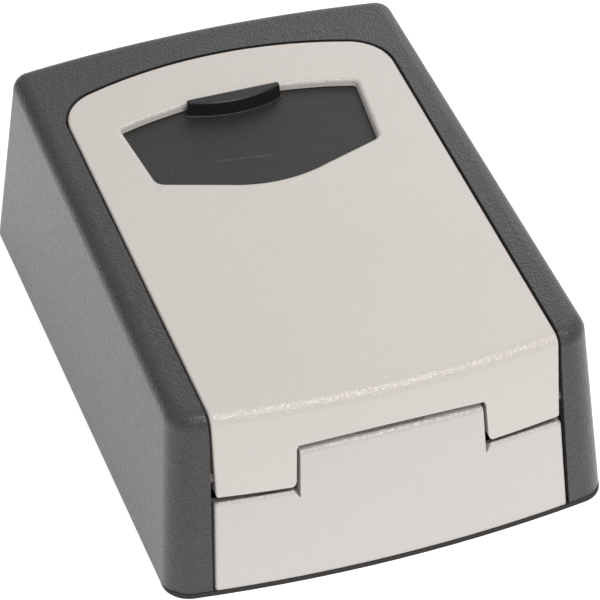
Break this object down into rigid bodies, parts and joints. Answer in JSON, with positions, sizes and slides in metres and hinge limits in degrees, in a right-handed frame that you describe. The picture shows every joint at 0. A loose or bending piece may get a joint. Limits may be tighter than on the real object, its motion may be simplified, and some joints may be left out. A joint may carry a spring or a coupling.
{
  "type": "mini key safe",
  "caption": "Small wall-mounted combination key safe: cast case, hinged door with a sliding dial shutter, turning number dials, spring latch and code-change lever.",
  "frame": {"origin": "centre of the back face, on the back face (the face that goes against the wall)", "axes": "+Z away from the wall towards the door's face, -Y the hinge end (bottom when it hangs on a wall), +Y the dial end, +X across; it lies on its back"},
  "size_m": [0.0834, 0.12, 0.0424],
  "materials": {
    "case_coat": "cast, under a fine leathery dark grey powder coat",
    "beige_paint": "cast, under satin light beige paint",
    "pad_rubber": "matt, solid",
    "steel_zinc": "zinc plated",
    "steel_bright": "drawn, bright",
    "black_plastic": "moulded, lightly worn",
    "dial_plastic": "moulded, with pale numbers",
    "grey_plastic": "moulded, ribbed top",
    "brass_hub": "turned"
  },
  "bodies": {
    "case": {"body_shell": "case_coat", "rear_pad": "pad_rubber", "lower_panel": "beige_paint", "lower_panel_screws": "steel_zinc", "hinge_pin": "steel_bright", "key_hook": "brass_hub"},
    "door": {"door_shell": "beige_paint", "dial_carrier": "black_plastic", "carrier_screws": "steel_zinc", "mechanism_cover": "black_plastic", "cover_screws": "steel_zinc", "dial_detent_spring": "steel_bright", "latch_springs": "steel_bright"},
    "shutter": {"shutter": "black_plastic"},
    "latch": {"latch_frame": "steel_zinc", "release_knob": "grey_plastic"},
    "lever": {"code_change_lever": "brass_hub"},
    "shifter": {"dial_axle": "steel_bright", "axle_clip": "steel_bright", "shift_fork": "steel_zinc"},
    "dial_1": {"number_dial_1": "dial_plastic"},
    "hub_1": {"dial_hub_1": "brass_hub"},
    "dial_2": {"number_dial_2": "dial_plastic"},
    "hub_2": {"dial_hub_2": "brass_hub"},
    "dial_3": {"number_dial_3": "dial_plastic"},
    "hub_3": {"dial_hub_3": "brass_hub"},
    "dial_4": {"number_dial_4": "dial_plastic"},
    "hub_4": {"dial_hub_4": "brass_hub"}
  },
  "joints": [
    {"name": "door_hinge", "type": "hinge", "parent": "case", "child": "door", "pos_m": [0, -0.0522, 0.0232], "axis": [1, 0, 0], "range_deg": [0, 95]},
    {"name": "shutter_slide", "type": "slide", "parent": "door", "child": "shutter", "axis": [0, -0.9986, -0.0534], "range_m": [0, 0.0215]},
    {"name": "latch_slide", "type": "slide", "parent": "door", "child": "latch", "axis": [0, 0.9986, 0.0534], "range_m": [0, 0.0025], "deforming": ["latch_springs"]},
    {"name": "code_change_slide", "type": "slide", "parent": "door", "child": "lever", "axis": [0, 0.9986, 0.0534], "range_m": [0, 0.004]},
    {"name": "axle_shift", "type": "slide", "parent": "door", "child": "shifter", "axis": [1, 0, 0], "range_m": [0, 0.0008]},
    {"name": "dial_spin_1", "type": "hinge", "parent": "door", "child": "dial_1", "pos_m": [0, 0.02203, 0.03], "axis": [1, 0, 0], "continuous": true},
    {"name": "dial_spin_2", "type": "hinge", "parent": "door", "child": "dial_2", "pos_m": [0, 0.02203, 0.03], "axis": [1, 0, 0], "continuous": true},
    {"name": "dial_spin_3", "type": "hinge", "parent": "door", "child": "dial_3", "pos_m": [0, 0.02203, 0.03], "axis": [1, 0, 0], "continuous": true},
    {"name": "dial_spin_4", "type": "hinge", "parent": "door", "child": "dial_4", "pos_m": [0, 0.02203, 0.03], "axis": [1, 0, 0], "continuous": true},
    {"name": "hub_shift_1", "type": "slide", "parent": "dial_1", "child": "hub_1", "axis": [1, 0, 0], "range_m": [0, 0.0008]},
    {"name": "hub_shift_2", "type": "slide", "parent": "dial_2", "child": "hub_2", "axis": [1, 0, 0], "range_m": [0, 0.0008]},
    {"name": "hub_shift_3", "type": "slide", "parent": "dial_3", "child": "hub_3", "axis": [1, 0, 0], "range_m": [0, 0.0008]},
    {"name": "hub_shift_4", "type": "slide", "parent": "dial_4", "child": "hub_4", "axis": [1, 0, 0], "range_m": [0, 0.0008]}
  ],
  "couplings": [
    {"joint": "axle_shift", "follows": "code_change_slide", "ratio": 0.2},
    {"joint": "hub_shift_1", "follows": "code_change_slide", "ratio": 0.2},
    {"joint": "hub_shift_2", "follows": "code_change_slide", "ratio": 0.2},
    {"joint": "hub_shift_3", "follows": "code_change_slide", "ratio": 0.2},
    {"joint": "hub_shift_4", "follows": "code_change_slide", "ratio": 0.2}
  ]
}
